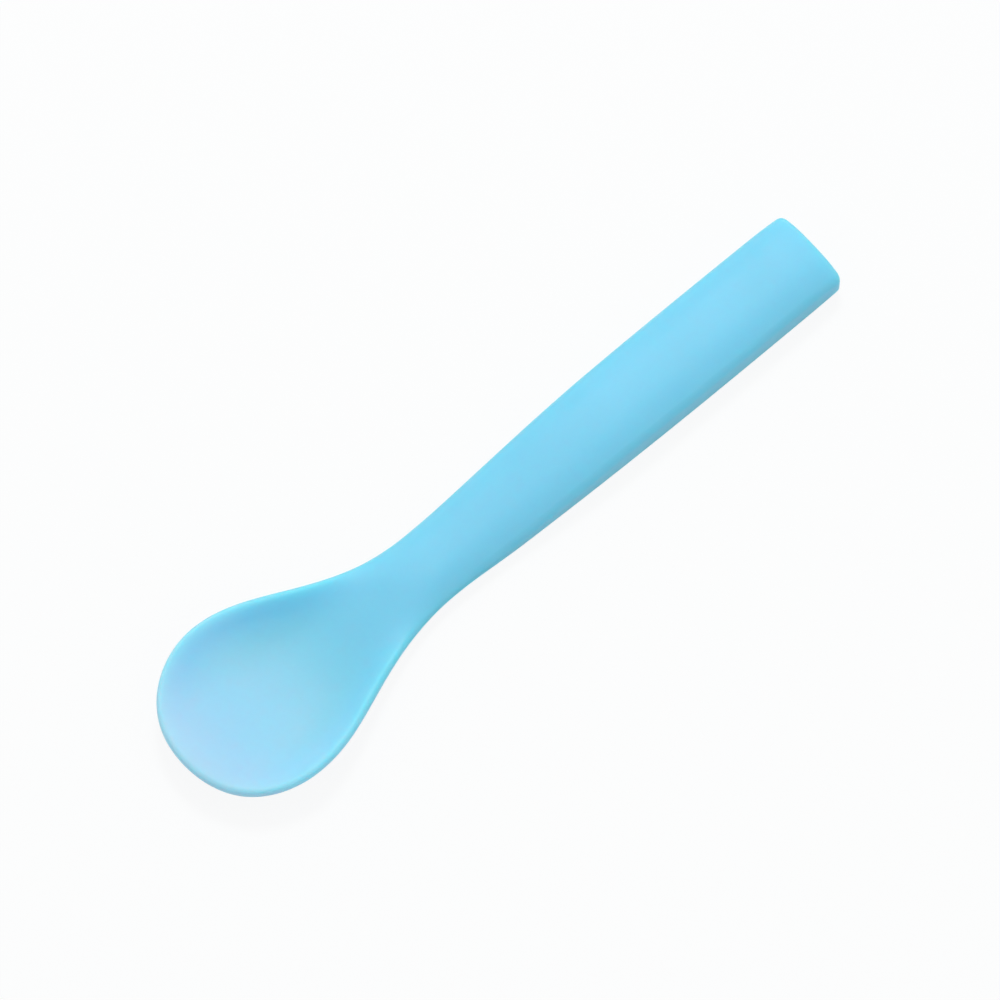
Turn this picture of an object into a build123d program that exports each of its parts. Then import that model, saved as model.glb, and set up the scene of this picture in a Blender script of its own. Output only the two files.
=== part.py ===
from build123d import *
from math import sqrt
import os

# A baby spoon: a soft silicone skin, moulded in one shot over a stiff core.
# Lengths are in millimetres. While it is drawn, X is the station along the spoon, measured
# from the bowl's tip towards the handle's end. Y is across, and Z is up from the table.

# Plan outline
overall_length = 130.0
bowl_width = 30.5
bowl_widest_at = 15.2
neck_width = 12.5
neck_at = 50.6
grip_width = 14.7
grip_widest_at = 106.0
end_width = 14.5
end_corner_radius = 1.1

# How far the outline's curves run on along their tangents, before and after each station
tip_roundness = 10.7
bowl_front_reach = 6.5
bowl_back_reach = 11.1
neck_front_reach = 16.2
neck_back_reach = 8.0
grip_front_reach = 31.5
grip_back_reach = 10.0

# Bowl
rim_height = 7.4
tip_dip = 0.15
tip_flare = 3.5
floor_thickness = 1.9
bowl_deepest_at = 25.0
lip_depth = 2.4
flank_runs_out_at = 44.0
belly_flat_depth = 0.12

# Neck
neck_top = 5.2
neck_arch = 0.4
neck_wall_foot = 1.7
neck_wall_height = 1.3

# Handle
grip_thickness = 7.8
grip_crown = 2.05
grip_tallest_at = 90.0
grip_wall_foot = 0.6
grip_flat_depth = 0.6
grip_flat_runout = 14.0
end_roll_length = 7.0
end_roll_drop = 0.9
end_roll_rise = 0.9

# Edges and section shapes
edge_radius = 0.9
lower_edge_radius = 0.7
top_fullness = 2.8
belly_fullness = 2.4

# Stiff core
core_starts_at = 38.0
core_end_gap = 9.0
core_tongue_width = 6.0
core_neck_width = 5.4
core_grip_width = 8.2
core_tongue_thickness = 1.3
core_neck_thickness = 2.0
core_grip_thickness = 4.0
core_corner_radius = 0.5
core_end_chamfer = 0.3

# Windows through the core
window_count = 4
window_length = 11.0
window_width = 3.4
window_gap_from_neck = 8.0
window_gap_from_end = 3.5

# Where the cross-sections stand: from the tip to the neck, and from the neck to the end
bowl_section_shares = (-0.06, 0.04, 0.16, 0.3, 0.44, 0.59, 0.75, 0.87)
grip_section_shares = (0.0, 0.12, 0.3, 0.52, 0.75, 0.9, 0.96, 1.0, 1.03)
across_shares = (0.4, 0.75)


def ease(start, end, x):
    """0 before start and 1 after end, with a smooth step between them."""
    share = min(max((x - start) / (end - start), 0.0), 1.0)
    return share * share * (3.0 - 2.0 * share)


def blend(first, last, start, end, x):
    """first before start and last after end, with a smooth step between them."""
    return first + (last - first) * ease(start, end, x)


def end_roll(x):
    """How far the handle has rolled over towards its end, from 0 to 1."""
    share = max((x - overall_length + end_roll_length) / end_roll_length, 0.0)
    return share * share


def top_middle(x):
    """Height of the upper surface along the spoon's middle line."""
    if x < bowl_deepest_at:
        lip = rim_height - tip_dip
        return floor_thickness + (lip - floor_thickness) * (1.0 - x / bowl_deepest_at) ** 2
    if x < neck_at:
        return blend(floor_thickness, neck_top, bowl_deepest_at, neck_at, x)
    return blend(neck_top, grip_thickness, neck_at, grip_tallest_at, x) - end_roll_drop * end_roll(x)


def top_side(x):
    """Height of the upper surface at the outline, before the edge is rounded."""
    rounding_loss = sqrt(2) * edge_radius  # what a crest that slopes in at 45 degrees loses
    crest = rim_height + rounding_loss
    if x < bowl_widest_at:
        return crest + tip_flare * (1.0 - x / bowl_widest_at) ** 3
    neck_side = neck_wall_foot + neck_wall_height
    if x < neck_at:
        return blend(crest, neck_side, bowl_widest_at, neck_at, x)
    grip_side = grip_thickness - grip_crown
    return blend(neck_side, grip_side, neck_at, grip_tallest_at, x) - end_roll_drop * end_roll(x)


def keel(x):
    """Height of the underside along the middle line. The table cuts what is below 0 flat."""
    if x < bowl_deepest_at:
        share = 1.0 - x / bowl_deepest_at
        lip = rim_height - tip_dip - lip_depth
        return (lip + belly_flat_depth) * share**2 - belly_flat_depth
    if x < neck_at:
        return blend(-belly_flat_depth, neck_arch, bowl_deepest_at, neck_at, x)
    flat = blend(neck_arch, -grip_flat_depth, neck_at, neck_at + grip_flat_runout, x)
    return flat + end_roll_rise * end_roll(x)


def flank(x):
    """Height of the underside at the outline."""
    if x < neck_at:
        return blend(rim_height - lip_depth, neck_wall_foot, bowl_widest_at, flank_runs_out_at, x)
    side = blend(neck_wall_foot, grip_wall_foot, neck_at, neck_at + grip_flat_runout, x)
    return side + (end_roll_rise - grip_flat_depth) * end_roll(x)


def half_width(x, curves):
    """Half the width that the section at x is drawn to. Round the tip it stays the bowl's."""
    if x < bowl_widest_at:
        return bowl_width / 2
    if x >= overall_length:
        return end_width / 2
    curve = next(c for c in curves if (c @ 1).X >= x)
    low, high = 0.0, 1.0
    for _ in range(30):
        middle = (low + high) / 2
        if (curve @ middle).X < x:
            low = middle
        else:
            high = middle
    return abs((curve @ low).Y)


def body_section(x, half):
    """Cross-section of the spoon at x: a hollow or crowned top over a rounded underside."""
    overhang = 1.0 + edge_radius / (2 * half)
    right = [*across_shares, overhang]
    shares = [-share for share in reversed(right)] + [0.0] + right
    top_rise = top_side(x) - top_middle(x)
    belly_rise = flank(x) - keel(x)
    top = [(x, s * half, top_middle(x) + top_rise * abs(s) ** top_fullness) for s in shares]
    belly = [(x, s * half, keel(x) + belly_rise * abs(s) ** belly_fullness) for s in shares]
    right_wall = Line(belly[-1], top[-1])
    left_wall = Line(top[0], belly[0])
    return Wire([Spline(*belly), right_wall, Spline(*reversed(top)), left_wall])


def half_outline(side):
    """The outline's four curves on one side of the middle, from the tip to the handle's end."""
    tip = (0, 0)
    bowl = (bowl_widest_at, side * bowl_width / 2)
    neck = (neck_at, side * neck_width / 2)
    grip = (grip_widest_at, side * grip_width / 2)
    end = (overall_length, side * end_width / 2)

    def along(point, reach):
        return (point[0] + reach, point[1])

    return [
        Bezier(tip, (0, side * tip_roundness), along(bowl, -bowl_front_reach), bowl),
        Bezier(bowl, along(bowl, bowl_back_reach), along(neck, -neck_front_reach), neck),
        Bezier(neck, along(neck, neck_back_reach), along(grip, -grip_front_reach), grip),
        Bezier(grip, along(grip, grip_back_reach), end),
    ]


def spoon_form():
    """The spoon's outer form: the plan outline cut out of a loft through the cross-sections."""
    left, right = half_outline(1), half_outline(-1)
    end_line = Line(left[-1] @ 1, right[-1] @ 1)
    outline = make_face(Wire(left + [end_line] + right))
    block = extrude(outline, 2 * grip_thickness).solids()[0]
    stations = [neck_at * share for share in bowl_section_shares]
    stations += [neck_at + (overall_length - neck_at) * share for share in grip_section_shares]
    sections = [body_section(x, half_width(x, left)) for x in reversed(stations)]
    slab = Solid.make_loft(sections)
    form = (block & slab).solids()[0]
    end_corners = form.edges().filter_by(Axis.Z).group_by(Axis.X)[-1]
    form = form.fillet(end_corner_radius, end_corners)
    belly, top = form.faces().filter_by(GeomType.BSPLINE).sort_by(SortBy.AREA)[-2:]
    form = form.fillet(edge_radius, top.outer_wire().edges())
    return form.fillet(lower_edge_radius, belly.outer_wire().edges())


def core_section(x):
    """Cross-section of the core at x, centred in the thickness of the spoon."""
    width = blend(core_tongue_width, core_neck_width, core_starts_at, neck_at, x)
    width += (core_grip_width - core_neck_width) * ease(neck_at, grip_widest_at, x)
    thickness = blend(core_tongue_thickness, core_neck_thickness, core_starts_at, neck_at, x)
    thickness += (core_grip_thickness - core_neck_thickness) * ease(neck_at, grip_tallest_at, x)
    height = (top_middle(x) + max(keel(x), 0.0)) / 2
    across = Plane(origin=(x, 0, height), x_dir=(0, 1, 0), z_dir=(1, 0, 0))
    return across * RectangleRounded(width, thickness, core_corner_radius)


def stiff_core():
    """The core: a bar that thickens towards the handle's end, with windows through it."""
    core_end = overall_length - core_end_gap
    grip_third = (core_end - neck_at) / 3
    stations = [core_starts_at, (core_starts_at + neck_at) / 2]
    stations += [neck_at + grip_third * index for index in range(4)]
    bar = loft([core_section(x) for x in stations]).solids()[0]
    end_faces = bar.faces().filter_by(GeomType.PLANE).filter_by(Axis.X)
    end_edges = [edge for face in end_faces for edge in face.edges()]
    bar = bar.chamfer(core_end_chamfer, None, end_edges)
    first = neck_at + window_gap_from_neck + window_length / 2
    last = core_end - window_gap_from_end - window_length / 2
    window = extrude(SlotOverall(window_length, window_width), 2 * grip_thickness)
    for index in range(window_count):
        bar -= Pos(first + (last - first) * index / (window_count - 1), 0, 0) * window
    return bar.solids()[0]


def export(solid, name):
    """Write a piece with the origin under the middle of the spoon."""
    solid = Pos(-overall_length / 2, 0, 0) * solid
    solid.label = name
    export_step(solid, os.path.join("parts", name + ".step"))


form = spoon_form()
core = stiff_core()
silicone_body = form - core

os.makedirs("parts", exist_ok=True)
export(silicone_body.solids()[0], "silicone_body")
export(core, "core")
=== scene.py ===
"""A baby feeding spoon: one soft, matte, pale blue silicone skin over a stiff nylon core.

Sizes in the classes are millimetres, as on a drawing, unless a comment says otherwise.
The mesh is in metres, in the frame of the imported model: X along the spoon from bowl to handle
end, Y across, Z up from the table.
"""

import logging
import math
from dataclasses import dataclass, field
from enum import Enum
from typing import Any

import bpy
import numpy as np
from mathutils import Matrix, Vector


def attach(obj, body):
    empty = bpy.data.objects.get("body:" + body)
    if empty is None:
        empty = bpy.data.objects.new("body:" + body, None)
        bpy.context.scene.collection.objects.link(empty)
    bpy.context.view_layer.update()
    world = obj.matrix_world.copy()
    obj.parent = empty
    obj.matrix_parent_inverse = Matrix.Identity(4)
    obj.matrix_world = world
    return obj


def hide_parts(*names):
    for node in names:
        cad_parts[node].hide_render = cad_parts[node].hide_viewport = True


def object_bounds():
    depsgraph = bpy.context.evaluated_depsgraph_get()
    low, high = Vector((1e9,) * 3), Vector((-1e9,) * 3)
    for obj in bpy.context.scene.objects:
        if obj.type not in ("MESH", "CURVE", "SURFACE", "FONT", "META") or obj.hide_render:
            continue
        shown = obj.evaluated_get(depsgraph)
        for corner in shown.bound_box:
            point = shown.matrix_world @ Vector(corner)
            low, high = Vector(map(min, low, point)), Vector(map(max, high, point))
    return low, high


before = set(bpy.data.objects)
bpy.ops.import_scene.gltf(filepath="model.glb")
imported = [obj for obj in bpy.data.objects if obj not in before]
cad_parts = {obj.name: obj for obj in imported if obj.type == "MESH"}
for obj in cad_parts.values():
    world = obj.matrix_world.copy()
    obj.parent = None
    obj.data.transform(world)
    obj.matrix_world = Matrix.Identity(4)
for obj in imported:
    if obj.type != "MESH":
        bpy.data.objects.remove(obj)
cad_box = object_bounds()

MM = 0.001
log = logging.getLogger("spoon")

Colour = tuple[float, float, float, float]
WHITE: Colour = (1.0, 1.0, 1.0, 1.0)


def linear(code: str) -> Colour:
    """Turn an sRGB hex colour into the linear colour that shaders use.

    Args:
        code: six hex digits, such as "7ccfea".

    Returns:
        Linear red, green and blue, and an alpha of 1.
    """
    shares = [int(code[i:i + 2], 16) / 255 for i in (0, 2, 4)]
    red, green, blue = (s / 12.92 if s <= 0.04045 else ((s + 0.055) / 1.055) ** 2.4 for s in shares)
    return (red, green, blue, 1.0)


def ease(start: float, end: float, x: np.ndarray) -> np.ndarray:
    """0 before start and 1 after end, with a smooth step between them."""
    share = np.clip((x - start) / (end - start), 0.0, 1.0)
    return share * share * (3.0 - 2.0 * share)


def blend(first: float, last: float, start: float, end: float, x: np.ndarray) -> np.ndarray:
    """first before start and last after end, with a smooth step between them."""
    return first + (last - first) * ease(start, end, x)


def soft_min(a: np.ndarray, b: np.ndarray, reach: float) -> np.ndarray:
    """The lower of two heights, with the corner where they cross rounded off.

    Args:
        a: heights of the first surface.
        b: heights of the second surface.
        reach: how far apart the two still melt together.

    Returns:
        The heights of the joined surface.
    """
    near = np.clip(reach - np.abs(a - b), 0.0, None) / reach
    return np.minimum(a, b) - near * near * reach / 4


def soft_max(a: np.ndarray, b: np.ndarray, reach: float) -> np.ndarray:
    """The higher of two heights, with the corner where they cross rounded off."""
    return -soft_min(-a, -b, reach)


def add_node(tree: bpy.types.NodeTree, kind: str, settings: dict[str, Any] | None = None,
             inputs: dict[Any, Any] | None = None) -> bpy.types.Node:
    """Add one shader node.

    Args:
        tree: the material's or the world's nodes.
        kind: the node's type name.
        settings: attributes of the node itself.
        inputs: a value for each named or numbered input, or an output socket to link to it.

    Returns:
        The new node.
    """
    node = tree.nodes.new(kind)
    for name, value in (settings or {}).items():
        setattr(node, name, value)
    for name, value in (inputs or {}).items():
        if isinstance(value, bpy.types.NodeSocket):
            tree.links.new(value, node.inputs[name])
        else:
            node.inputs[name].default_value = value
    return node


def new_material(name: str) -> tuple[bpy.types.Material, bpy.types.NodeTree]:
    """Make an empty node material.

    Args:
        name: what the finish is.

    Returns:
        The material and its node tree.
    """
    material = bpy.data.materials.new(name)
    material.use_nodes = True
    material.node_tree.nodes.clear()
    return material, material.node_tree


def fade_along(tree: bpy.types.NodeTree, along: bpy.types.NodeSocket, start: float,
               end: float) -> bpy.types.NodeSocket:
    """Add a share that is 1 before start and 0 after end, with a smooth step between them.

    Args:
        tree: the material's nodes.
        along: the place along the spoon.
        start: where the share begins to fall, in metres.
        end: where it has run out, in metres.

    Returns:
        The socket of the share.
    """
    return add_node(tree, "ShaderNodeMapRange", {"interpolation_type": "SMOOTHSTEP"}, {
        "Value": along,
        "From Min": start,
        "From Max": end,
        "To Min": 1.0,
        "To Max": 0.0,
    }).outputs["Result"]


def mix_colours(tree: bpy.types.NodeTree, share: bpy.types.NodeSocket,
                first: Colour | bpy.types.NodeSocket,
                second: Colour | bpy.types.NodeSocket) -> bpy.types.NodeSocket:
    """Add a mix of two colours.

    A Mix node has sockets for every type of data: its colours go in at 6 and 7 and out at 2.

    Args:
        tree: the material's nodes.
        share: the share of the second colour.
        first: the first colour.
        second: the second colour.

    Returns:
        The socket of the mixed colour.
    """
    return add_node(tree, "ShaderNodeMix", {"data_type": "RGBA"}, {
        "Factor": share,
        6: first,
        7: second,
    }).outputs[2]


@dataclass(frozen=True)
class MouldedSilicone:
    """Food-grade silicone from a sandblasted mould: matte, soft to the eye, a little see-through.

    Light goes a few millimetres into it, and a fine bloom whitens it where it is seen at a low
    angle.
    The bowl and the tip are painted paler than the handle. This is painted light, standing in for
    light from the white table that shows through the thinner silicone there. The painted pale zone
    of the bowl runs out between two places along X, measured from the middle of the spoon.
    """

    # The handle's own blue, then two paler colours that are painted light: the table's light
    # showing through the bowl and the tip.
    thick_colour: str = "7ccfea"
    painted_see_through_colour: str = "97d4f3"
    painted_tip_see_through_colour: str = "aad3ec"
    roughness: float = 0.52
    ior: float = 1.41
    bloom: float = 0.1
    bloom_roughness: float = 0.45
    # How far red, green and blue light spreads.
    light_depth: tuple[float, float, float] = (0.38, 3.6, 3.6)
    light_share: float = 1.0
    # Where the painted see-through light in the bowl runs out, and how far it reaches from the tip,
    # in millimetres.
    painted_see_through_until: float = -52.0
    painted_see_through_from: float = -31.0
    tip_painted_see_through_length: float = 14.0
    grain_size: float = 0.5
    grain_detail: float = 3.0
    grain_height: float = 0.012
    grain_strength: float = 0.35
    cloud_size: float = 14.0
    cloud_detail: float = 2.0
    cloud_share: float = 0.06

    def material(self) -> bpy.types.Material:
        """Build the silicone's shader."""
        material, tree = new_material("moulded_silicone")
        place = add_node(tree, "ShaderNodeTexCoord").outputs["Object"]
        along = add_node(tree, "ShaderNodeSeparateXYZ", inputs={"Vector": place}).outputs["X"]
        tip_start = cad_box[0][0]
        # Painted light: the bowl and the tip are mixed towards paler colours, for the table's light
        # showing through the thinner silicone.
        painted_see_through_share = fade_along(tree, along, self.painted_see_through_until * MM, self.painted_see_through_from * MM)
        tip = fade_along(tree, along, tip_start, tip_start + self.tip_painted_see_through_length * MM)
        body = mix_colours(tree, painted_see_through_share, linear(self.thick_colour), linear(self.painted_see_through_colour))
        painted_pale_colour = mix_colours(tree, tip, body, linear(self.painted_tip_see_through_colour))
        clouds = add_node(tree, "ShaderNodeTexNoise", inputs={
            "Vector": place,
            "Scale": 1.0 / (self.cloud_size * MM),
            "Detail": self.cloud_detail,
        }).outputs["Fac"]
        cloud_light = add_node(tree, "ShaderNodeMapRange", inputs={
            "Value": clouds,
            "To Min": 1.0 - self.cloud_share / 2,
            "To Max": 1.0 + self.cloud_share / 2,
        }).outputs["Result"]
        clouded = add_node(tree, "ShaderNodeHueSaturation", inputs={
            "Value": cloud_light,
            "Color": painted_pale_colour,
        })
        grain = add_node(tree, "ShaderNodeTexNoise", inputs={
            "Vector": place,
            "Scale": 1.0 / (self.grain_size * MM),
            "Detail": self.grain_detail,
        }).outputs["Fac"]
        bump = add_node(tree, "ShaderNodeBump", inputs={
            "Height": grain,
            "Strength": self.grain_strength,
            "Distance": self.grain_height * MM,
        })
        shader = add_node(tree, "ShaderNodeBsdfPrincipled", {"subsurface_method": "RANDOM_WALK"}, {
            "Base Color": clouded.outputs["Color"],
            "Roughness": self.roughness,
            "IOR": self.ior,
            "Subsurface Weight": self.light_share,
            "Subsurface Radius": self.light_depth,
            "Subsurface Scale": MM,
            "Sheen Weight": self.bloom,
            "Sheen Roughness": self.bloom_roughness,
            "Normal": bump.outputs["Normal"],
        })
        add_node(tree, "ShaderNodeOutputMaterial", inputs={"Surface": shader.outputs["BSDF"]})
        return material


@dataclass(frozen=True)
class MouldedNylon:
    """Natural nylon, injection moulded: off-white, satin, faintly clouded by the melt's flow."""

    pale_colour: str = "eceae2"
    dark_colour: str = "dedcd2"
    roughness: float = 0.38
    ior: float = 1.53
    flow_size: float = 6.0
    flow_distortion: float = 0.8

    def material(self) -> bpy.types.Material:
        """Build the nylon's shader."""
        material, tree = new_material("moulded_nylon")
        place = add_node(tree, "ShaderNodeTexCoord").outputs["Object"]
        flow = add_node(tree, "ShaderNodeTexNoise", inputs={
            "Vector": place,
            "Scale": 1.0 / (self.flow_size * MM),
            "Distortion": self.flow_distortion,
        }).outputs["Fac"]
        colour = mix_colours(tree, flow, linear(self.pale_colour), linear(self.dark_colour))
        shader = add_node(tree, "ShaderNodeBsdfPrincipled", inputs={
            "Base Color": colour,
            "Roughness": self.roughness,
            "IOR": self.ior,
        })
        add_node(tree, "ShaderNodeOutputMaterial", inputs={"Surface": shader.outputs["BSDF"]})
        return material


class Level(Enum):
    """The groups of rings down the spoon's edge, from the upper face to the underside."""

    UPPER_BAND = "upper band"
    UPPER_ROUND = "upper rounding"
    WALL = "wall"
    LOWER_ROUND = "lower rounding"
    LOWER_BAND = "lower band"


@dataclass
class SpoonForm:
    """The spoon's outline and its upper and lower surfaces, as functions of the plan.

    Stations run from 0 at the bowl's tip to the full length at the handle's end.
    """

    length: float = (cad_box[1][0] - cad_box[0][0]) / MM
    bowl_width: float = (cad_box[1][1] - cad_box[0][1]) / MM
    bowl_widest_at: float = 15.2
    neck_width: float = 12.5
    neck_at: float = 50.6
    grip_width: float = 14.7
    grip_widest_at: float = 106.0
    end_width: float = 14.5
    end_corner_radius: float = 1.1

    tip_roundness: float = 10.7
    bowl_front_reach: float = 6.5
    bowl_back_reach: float = 11.1
    neck_front_reach: float = 16.2
    neck_back_reach: float = 8.0
    grip_front_reach: float = 31.5
    grip_back_reach: float = 10.0

    rim_height: float = 7.4
    rim_width: float = 1.3
    # The two melts are shares of the climb from the middle of a section to its side.
    rim_melt: float = 0.3
    crown_melt: float = 0.01
    rim_fades: tuple[float, float] = (28.0, 46.0)
    tip_dip: float = 0.6
    floor_thickness: float = 1.9
    bowl_deepest_at: float = 25.0
    lip_depth: float = 2.4
    flank_runs_out_at: float = 44.0
    belly_flat_depth: float = 0.12

    neck_top: float = 5.2
    neck_arch: float = 0.4
    neck_wall_foot: float = 1.7
    neck_wall_height: float = 1.3

    grip_thickness: float = 7.8
    grip_crown: float = 2.05
    grip_tallest_at: float = 90.0
    grip_wall_foot: float = 0.6
    grip_flat_depth: float = 0.6
    grip_flat_runout: float = 14.0
    end_roll_length: float = 7.0
    end_roll_drop: float = 0.9
    end_roll_rise: float = 0.9

    edge_radius: float = 0.9
    lower_edge_radius: float = 0.7
    table_melt: float = 0.15
    # Exponents: the higher one is, the flatter the middle of a section and the steeper its sides.
    top_fullness: float = 2.8
    scoop_fullness: float = 4.5
    belly_fullness: float = 2.4

    samples: int = 300
    corner_samples: int = 60
    least_step: float = 1e-6
    edge: np.ndarray = field(init=False, repr=False)
    inward: np.ndarray = field(init=False, repr=False)
    run: np.ndarray = field(init=False, repr=False)

    def __post_init__(self) -> None:
        """Draw half the outline, from the middle of the tip to the middle of the handle's end."""
        tip = (0.0, 0.0)
        bowl = (self.bowl_widest_at, self.bowl_width / 2)
        neck = (self.neck_at, self.neck_width / 2)
        grip = (self.grip_widest_at, self.grip_width / 2)
        end = (self.length, self.end_width / 2)

        def along(point: tuple[float, float], reach: float) -> tuple[float, float]:
            """The point that lies reach further along the spoon."""
            return (point[0] + reach, point[1])

        curves = [
            (tip, (0.0, self.tip_roundness), along(bowl, -self.bowl_front_reach), bowl),
            (bowl, along(bowl, self.bowl_back_reach), along(neck, -self.neck_front_reach), neck),
            (neck, along(neck, self.neck_back_reach), along(grip, -self.grip_front_reach), grip),
            (grip, along(grip, self.grip_back_reach), end),
        ]
        side = np.vstack([self.bezier(points) for points in curves])
        side = side[side[:, 0] < self.length - self.end_corner_radius]
        turn = np.linspace(0.0, math.pi / 2, self.corner_samples)[:, None]
        middle = side[-1] - (0.0, self.end_corner_radius)
        corner = middle + self.end_corner_radius * np.hstack([np.sin(turn), np.cos(turn)])
        self.edge = np.vstack([side, corner, [(corner[-1, 0], 0.0)]])
        steps = np.diff(self.edge, axis=0)
        self.edge = self.edge[np.r_[True, np.hypot(*steps.T) > self.least_step]]
        steps = np.diff(self.edge, axis=0)
        self.run = np.r_[0.0, np.cumsum(np.hypot(*steps.T))]
        tangent = np.gradient(self.edge, self.run, axis=0)
        tangent[0] = (0.0, 1.0)
        tangent[-1] = (0.0, -1.0)
        tangent /= np.hypot(*tangent.T)[:, None]
        self.inward = np.column_stack([tangent[:, 1], -tangent[:, 0]])

    def bezier(self, points: tuple[tuple[float, float], ...]) -> np.ndarray:
        """Points along a Bezier curve of any degree, without its last one."""
        share = np.linspace(0.0, 1.0, self.samples, endpoint=False)[:, None]
        row = [np.asarray(point)[None, :] for point in points]
        while len(row) > 1:
            row = [(1 - share) * a + share * b for a, b in zip(row, row[1:])]
        return row[0]

    def edge_at(self, run: np.ndarray, inset: np.ndarray) -> np.ndarray:
        """Plan points at a distance along the half outline, moved inwards.

        Args:
            run: distance along the outline from the middle of the tip.
            inset: how far inside the outline each point lies.

        Returns:
            One station and half breadth for each point.
        """
        columns = []
        for axis in (0, 1):
            place = np.interp(run, self.run, self.edge[:, axis])
            columns.append(place + inset * np.interp(run, self.run, self.inward[:, axis]))
        return np.column_stack(columns)

    def half_width(self, x: np.ndarray) -> np.ndarray:
        """Half the breadth at a station. Round the tip it stays the bowl's."""
        past_bowl = self.edge[:, 0] >= self.bowl_widest_at
        rows = self.edge[past_bowl]
        rows = rows[rows[:, 0] < self.length - self.end_corner_radius]
        return np.interp(x, rows[:, 0], rows[:, 1])

    def end_roll(self, x: np.ndarray) -> np.ndarray:
        """How far the handle has rolled over towards its end, from 0 to 1."""
        share = np.clip((x - self.length + self.end_roll_length) / self.end_roll_length, 0.0, None)
        return share * share

    def rim(self, x: np.ndarray) -> np.ndarray:
        """Width of the bowl's rounded rim at a station."""
        return self.rim_width * (1.0 - ease(*self.rim_fades, x))

    def top(self, x: np.ndarray, y: np.ndarray) -> np.ndarray:
        """Height of the upper face, before its edge is rounded.

        Args:
            x: stations.
            y: distances to the side of the middle line.

        Returns:
            One height for each point.
        """
        rim = self.rim(x)
        deepest, tallest = self.bowl_deepest_at, self.grip_tallest_at
        bowl_middle = blend(self.floor_thickness, self.neck_top, deepest, self.neck_at, x)
        grip_middle = blend(self.neck_top, self.grip_thickness, self.neck_at, tallest, x)
        middle = np.where(x < self.neck_at, bowl_middle, grip_middle)

        neck_side = self.neck_wall_foot + self.neck_wall_height
        bowl_side = blend(self.rim_height, neck_side, self.bowl_widest_at, self.neck_at, x)
        grip_side = self.grip_thickness - self.grip_crown
        grip_side = blend(neck_side, grip_side, self.neck_at, tallest, x)
        side = np.where(x < self.neck_at, bowl_side, grip_side)

        to_tip = np.clip(1.0 - (x - rim) / (deepest - rim), 0.0, None)
        to_side = np.abs(y) / (self.half_width(x) - rim)
        fullness = blend(self.scoop_fullness, self.top_fullness, *self.rim_fades, x)
        shared = to_tip ** 2 * ease(0.0, self.bowl_widest_at, x)
        climb = to_tip ** 2 + to_side ** fullness * (1.0 - shared)
        melt = self.rim_melt * rim / self.rim_width + self.crown_melt
        climb = soft_min(climb, np.ones_like(climb), melt)
        side = side - self.tip_dip * np.clip(1.0 - x / deepest, 0.0, None) ** 2
        return middle + (side - middle) * climb - self.end_roll_drop * self.end_roll(x)

    def underside(self, x: np.ndarray, y: np.ndarray) -> np.ndarray:
        """Height of the lower face, before its edge is rounded, flat where it meets the table.

        Args:
            x: stations.
            y: distances to the side of the middle line.

        Returns:
            One height for each point.
        """
        deepest = self.bowl_deepest_at
        lip = self.rim_height - self.lip_depth
        flat = self.belly_flat_depth
        dish = (lip - self.tip_dip + flat) * (1.0 - x / deepest) ** 2 - flat
        heel = blend(-flat, self.neck_arch, deepest, self.neck_at, x)
        runout = self.neck_at + self.grip_flat_runout
        grip = blend(self.neck_arch, -self.grip_flat_depth, self.neck_at, runout, x)
        grip = grip + self.end_roll_rise * self.end_roll(x)
        keel = np.where(x < deepest, dish, np.where(x < self.neck_at, heel, grip))

        bowl_side = blend(lip, self.neck_wall_foot, self.bowl_widest_at, self.flank_runs_out_at, x)
        grip_side = blend(self.neck_wall_foot, self.grip_wall_foot, self.neck_at, runout, x)
        grip_side = grip_side + (self.end_roll_rise - self.grip_flat_depth) * self.end_roll(x)
        side = np.where(x < self.neck_at, bowl_side, grip_side)

        share = np.abs(y) / self.half_width(x)
        height = keel + (side - keel) * share ** self.belly_fullness
        return np.clip(soft_max(height, np.zeros_like(height), self.table_melt), 0.0, None)


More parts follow.
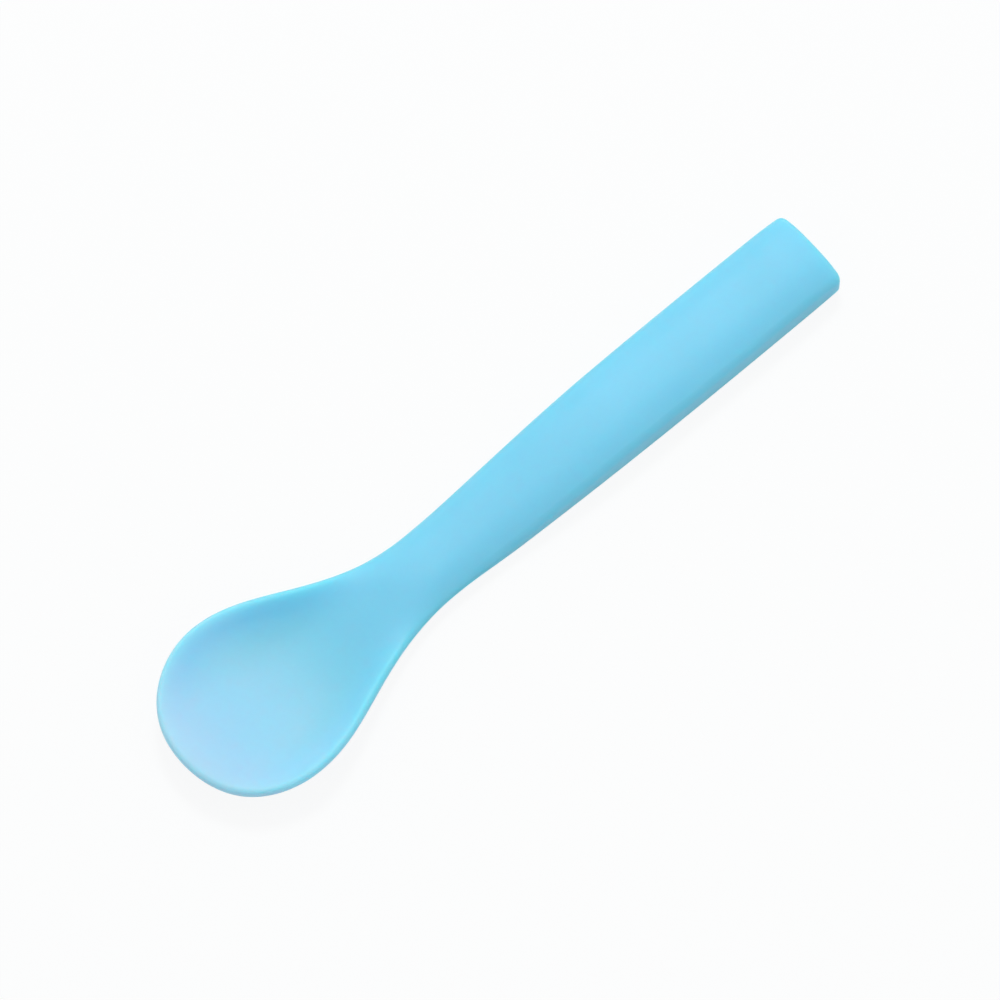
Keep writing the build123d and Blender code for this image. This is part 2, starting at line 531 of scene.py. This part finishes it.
@dataclass
class SiliconeSkin:
    """The soft one-piece skin: a block cut into columns and levels, moulded to the form."""

    form: SpoonForm
    finish: MouldedSilicone
    columns: int = 110
    rows: int = 20
    tip_arc: float = 12.5
    # Shares: how much closer the last columns and rows lie, and from where they draw closer.
    corner_crowding: float = 0.75
    corner_columns: float = 0.86
    edge_crowding: float = 0.5
    edge_rows: float = 0.4
    crowd_samples: int = 500
    # In the block's own measure, from -1 to 1.
    end_tolerance: float = 1e-4
    # A share of the edge's height.
    most_rounding: float = 0.48
    bowl_band: float = 2.6
    grip_band: float = 1.05
    band_narrows: tuple[float, float] = (30.0, 60.0)
    tip_bulge_until: float = 45.0
    # Degrees round a rounding, from the face to the wall.
    round_turns: tuple[float, ...] = (90.0, 67.5, 45.0, 22.5, 0.0)
    band_shares: tuple[float, ...] = (0.67, 0.33)

    def profile(self) -> list[tuple[Level, float]]:
        """The rings down the edge, as a group and a place within the group."""
        rings = [(Level.UPPER_BAND, share) for share in self.band_shares]
        rings += [(Level.UPPER_ROUND, turn) for turn in self.round_turns]
        rings += [(Level.WALL, 0.5)]
        rings += [(Level.LOWER_ROUND, turn) for turn in reversed(self.round_turns)]
        rings += [(Level.LOWER_BAND, share) for share in reversed(self.band_shares)]
        return rings

    def blank(self, levels: int) -> bpy.types.Object:
        """Make the uncut block, 2 wide each way and 1 deep, with its levels cut in.

        Args:
            levels: how many rings the edge has between the two faces.

        Returns:
            The block.
        """
        bpy.ops.object.select_all(action="DESELECT")
        bpy.ops.mesh.primitive_grid_add(x_subdivisions=self.columns, y_subdivisions=self.rows,
                                        size=2.0)
        piece = bpy.context.object
        bpy.ops.object.mode_set(mode="EDIT")
        bpy.ops.mesh.select_all(action="SELECT")
        bpy.ops.mesh.extrude_region_move(TRANSFORM_OT_translate={"value": (0.0, 0.0, -1.0)})
        for level in range(1, levels + 1):
            bpy.ops.mesh.select_all(action="SELECT")
            depth = -level / (levels + 1)
            bpy.ops.mesh.bisect(plane_co=(0.0, 0.0, depth), plane_no=(0.0, 0.0, 1.0))
        bpy.ops.object.mode_set(mode="OBJECT")
        return piece

    def crowd(self, share: np.ndarray, crowding: float, start: float) -> np.ndarray:
        """Even shares from 0 to 1, drawn closer together towards 1.

        Args:
            share: the even shares.
            crowding: how much closer the last ones lie.
            start: the share from which they draw closer.

        Returns:
            The uneven shares.
        """
        even = np.linspace(0.0, 1.0, self.crowd_samples)
        spacing = 1.0 - crowding * ease(start, 1.0, even)
        sums = np.r_[0.0, np.cumsum((spacing[1:] + spacing[:-1]) / 2)]
        return np.interp(share, even, sums / sums[-1])

    def border(self, u: np.ndarray, v: np.ndarray) -> tuple[np.ndarray, np.ndarray]:
        """Where the block's border columns stand on the outline.

        Args:
            u: the block's own place along, from -1 at the tip to 1 at the handle's end.
            v: the block's own place across, from -1 to 1.

        Returns:
            The distance along the half outline, and the side, -1 or 1.
        """
        form = self.form
        total = form.run[-1]
        # The middle of the end corner, which is a quarter of a circle.
        corner = total - form.edge[-2, 1] - form.end_corner_radius * math.pi / 4
        across = self.crowd(np.abs(v), self.edge_crowding, self.edge_rows)
        along = self.crowd((u + 1.0) / 2, self.corner_crowding, self.corner_columns)
        run = self.tip_arc + (corner - self.tip_arc) * along
        run = np.where(u < -1.0 + self.end_tolerance, across * self.tip_arc, run)
        run = np.where(u > 1.0 - self.end_tolerance, total - across * (total - corner), run)
        return run, np.where(v < 0.0, -1.0, 1.0)

    def band(self, x: np.ndarray) -> np.ndarray:
        """Width of the band of rings inside the outline at a station."""
        return blend(self.bowl_band, self.grip_band, *self.band_narrows, x)

    def on_border(self, u: np.ndarray, v: np.ndarray, share: np.ndarray | float) -> np.ndarray:
        """Plan points on the border columns, at a share of the band inside the outline."""
        run, side = self.border(u, v)
        station = self.form.edge_at(run, np.zeros_like(run))[:, 0]
        plan = self.form.edge_at(run, self.band(station) * share)
        return plan * np.column_stack([np.ones_like(side), side])

    def face_plan(self, u: np.ndarray, v: np.ndarray) -> np.ndarray:
        """Plan points of the block's two faces, fitted inside the band.

        Args:
            u: the block's own place along.
            v: the block's own place across.

        Returns:
            One station and offset across for each point.
        """
        ones = np.ones_like(u)
        crowded = self.crowd(np.abs(v), self.edge_crowding, self.edge_rows)
        across = (1.0 + np.sign(v) * crowded)[:, None] / 2
        right = self.on_border(u, -ones, 1.0)
        left = self.on_border(u, ones, 1.0)
        plan = right + (left - right) * across
        for end in (-1.0, 1.0):
            line = self.on_border(end * ones, v, 1.0)
            first = self.on_border(end * ones, -ones, 1.0)
            last = self.on_border(end * ones, ones, 1.0)
            bulge = line - (first + (last - first) * across)
            station = left[:, 0]
            fade = 1.0 - ease(0.0, self.tip_bulge_until, np.abs(station - last[:, 0]))
            plan = plan + bulge * fade[:, None]
        return plan

    def mould(self, piece: bpy.types.Object) -> None:
        """Move every vertex of the block onto the spoon's form."""
        mesh = piece.data
        raw = np.empty(len(mesh.vertices) * 3)
        mesh.vertices.foreach_get("co", raw)
        u, v, w = raw.reshape(-1, 3).T
        rings = self.profile()
        level = np.rint(-w * (len(rings) + 1)).astype(int)
        form = self.form
        spot = np.empty((len(u), 3))

        for face, surface in ((0, form.top), (len(rings) + 1, form.underside)):
            chosen = level == face
            plan = self.face_plan(u[chosen], v[chosen])
            spot[chosen] = np.column_stack([plan, surface(*plan.T)])

        for number, (group, place) in enumerate(rings, start=1):
            chosen = level == number
            spot[chosen] = self.ring(u[chosen], v[chosen], group, place)

        spot[:, 0] -= form.length / 2
        mesh.vertices.foreach_set("co", (spot * MM).ravel())
        mesh.update()

    def ring(self, u: np.ndarray, v: np.ndarray, group: Level, place: float) -> np.ndarray:
        """Points of one ring round the spoon's edge.

        Args:
            u: the block's own place along, of the ring's points.
            v: the block's own place across, of the ring's points.
            group: the part of the edge that the ring is on.
            place: the ring's share of a band, or its turn round a rounding in degrees. The
                wall's one ring is always halfway down.

        Returns:
            One point for each column, in stations.
        """
        form = self.form
        run, side = self.border(u, v)
        outline = form.edge_at(run, np.zeros_like(run))
        high, low = form.top(*outline.T), form.underside(*outline.T)
        upper = group in (Level.UPPER_BAND, Level.UPPER_ROUND)
        radius = form.edge_radius if upper else form.lower_edge_radius
        radius = np.minimum(radius, self.most_rounding * (high - low))
        band = self.band(outline[:, 0])
        turn = math.radians(place)
        inset, drop = np.zeros_like(run), np.zeros_like(run)
        if group in (Level.UPPER_BAND, Level.LOWER_BAND):
            inset = radius + (band - radius) * place
        elif group is not Level.WALL:
            inset = radius * (1.0 - math.cos(turn))
            drop = radius * (1.0 - math.sin(turn))
        plan = form.edge_at(run, inset)
        if upper:
            height = form.top(*plan.T) - drop
        elif group in (Level.LOWER_BAND, Level.LOWER_ROUND):
            height = form.underside(*plan.T) + drop
        else:
            height = (high + low) / 2
        return np.column_stack([plan[:, 0], plan[:, 1] * side, height])

    def build(self) -> bpy.types.Object:
        """Model the skin, finish it and set it in place of the CAD skin."""
        piece = self.blank(len(self.profile()))
        piece.name = "silicone_skin"
        self.mould(piece)
        bpy.ops.object.mode_set(mode="EDIT")
        bpy.ops.mesh.select_all(action="SELECT")
        bpy.ops.mesh.normals_make_consistent(inside=False)
        bpy.ops.object.mode_set(mode="OBJECT")
        smooth = piece.modifiers.new("smooth", "SUBSURF")
        smooth.levels = 1
        smooth.render_levels = 1
        bpy.ops.object.modifier_apply(modifier=smooth.name)
        bpy.ops.object.shade_smooth()
        piece.data.materials.append(self.finish.material())
        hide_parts("silicone_body")
        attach(piece, "root")
        log.info("%s: %d faces", piece.name, len(piece.data.polygons))
        return piece


@dataclass
class StiffCore:
    """The windowed core inside the handle. Its CAD shape stays, and it gets its finish."""

    finish: MouldedNylon
    node: str = "core"

    def build(self) -> bpy.types.Object:
        """Dress the core's CAD node."""
        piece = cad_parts[self.node]
        material = self.finish.material()
        if not piece.material_slots:
            piece.data.materials.append(material)
        for place in piece.material_slots:
            place.material = material
        log.info("%s: %d faces", piece.name, len(piece.data.polygons))
        return piece


@dataclass
class Studio:
    """A white table under soft light, seen through a long lens."""

    # Degrees.
    azimuth: float = -41.3
    elevation: float = 69.0

    aim: tuple[float, float, float] = (1.56, 1.72, 0.0)
    view_width: float = 155.4
    view_depth: float = 10000.0
    lens: float = 400.0
    sensor: float = 36.0
    floor_size: float = 3000.0
    floor_colour: str = "dfe5e7"
    key_size: float = 250.0
    key_place: tuple[float, float, float] = (370.0, 420.0, 950.0)

    # Watts for the soft box, a share for the table and a plain strength for the sky.
    key_power: float = 5.4
    floor_glow: float = 0.9
    sky_light: float = 0.67

    def shown(self, tree: bpy.types.NodeTree) -> bpy.types.NodeSocket:
        """Add the test for rays that show the background: seen, mirrored or let through.

        Args:
            tree: the world's or the table's nodes.

        Returns:
            A socket that is 1 for such rays and 0 for the rays that light the spoon.
        """
        rays = add_node(tree, "ShaderNodeLightPath")
        seen = add_node(tree, "ShaderNodeMath", {"operation": "MAXIMUM"}, {
            0: rays.outputs["Is Camera Ray"],
            1: rays.outputs["Is Transmission Ray"],
        })
        return add_node(tree, "ShaderNodeMath", {"operation": "MAXIMUM"}, {
            0: seen.outputs["Value"],
            1: rays.outputs["Is Glossy Ray"],
        }).outputs["Value"]

    def world(self) -> None:
        """Light everything softly from all round, with a plain white in view behind it."""
        world = bpy.data.worlds.new("studio")
        bpy.context.scene.world = world
        world.use_nodes = True
        tree = world.node_tree
        tree.nodes.clear()
        light = add_node(tree, "ShaderNodeBackground", inputs={
            "Color": WHITE,
            "Strength": self.sky_light,
        })
        white = add_node(tree, "ShaderNodeBackground", inputs={
            "Color": WHITE,
            "Strength": 1.0,
        })
        mix = add_node(tree, "ShaderNodeMixShader", inputs={
            0: self.shown(tree),
            1: light.outputs["Background"],
            2: white.outputs["Background"],
        })
        add_node(tree, "ShaderNodeOutputWorld", inputs={"Surface": mix.outputs["Shader"]})

    def floor(self) -> None:
        """Lay a white table that keeps the spoon's soft shadow."""
        bpy.ops.object.select_all(action="DESELECT")
        bpy.ops.mesh.primitive_plane_add(size=self.floor_size * MM)
        table = bpy.context.object
        table.name = "table"
        material, tree = new_material("white_table")
        matte = add_node(tree, "ShaderNodeBsdfDiffuse", inputs={"Color": linear(self.floor_colour)})
        glow = add_node(tree, "ShaderNodeEmission", inputs={
            "Color": WHITE,
            "Strength": 1.0,
        })
        share = add_node(tree, "ShaderNodeMath", {"operation": "MULTIPLY"}, {
            0: self.shown(tree),
            1: self.floor_glow,
        })
        mix = add_node(tree, "ShaderNodeMixShader", inputs={
            0: share.outputs["Value"],
            1: matte.outputs["BSDF"],
            2: glow.outputs["Emission"],
        })
        add_node(tree, "ShaderNodeOutputMaterial", inputs={"Surface": mix.outputs["Shader"]})
        table.data.materials.append(material)

    def key_light(self) -> None:
        """Hang a large soft box above the spoon's far side."""
        lamp = bpy.data.lights.new("soft_box", "AREA")
        lamp.shape = "SQUARE"
        lamp.size = self.key_size * MM
        lamp.energy = self.key_power
        holder = bpy.data.objects.new("soft_box", lamp)
        bpy.context.scene.collection.objects.link(holder)
        place = Vector(self.key_place) * MM
        holder.location = place
        holder.rotation_euler = (-place).to_track_quat("-Z", "Y").to_euler()

    def camera(self) -> None:
        """Stand the camera at the photograph's angle, far off, so that lines stay parallel."""
        lens = bpy.data.cameras.new("camera")
        lens.lens = self.lens
        lens.sensor_width = self.sensor
        holder = bpy.data.objects.new("camera", lens)
        bpy.context.scene.collection.objects.link(holder)
        turn, rise = math.radians(self.azimuth), math.radians(self.elevation)
        level = math.cos(rise)
        towards = Vector((math.sin(turn) * level, -math.cos(turn) * level, math.sin(rise)))
        distance = self.view_width * MM * self.lens / self.sensor
        holder.location = Vector(self.aim) * MM + towards * distance
        holder.rotation_euler = (-towards).to_track_quat("-Z", "Y").to_euler()
        lens.clip_end = self.view_depth * MM
        bpy.context.scene.camera = holder

    def build(self) -> None:
        """Set up the table, the light and the camera."""
        bpy.context.scene.view_settings.view_transform = "Standard"
        self.world()
        self.floor()
        self.key_light()
        self.camera()
        log.info("studio ready")


def main() -> None:
    """Model and dress the spoon and set up the studio."""
    logging.basicConfig(level=logging.INFO, format="%(name)s: %(message)s")
    SiliconeSkin(form=SpoonForm(), finish=MouldedSilicone()).build()
    StiffCore(finish=MouldedNylon()).build()
    Studio().build()


if __name__ == "__main__":
    main()
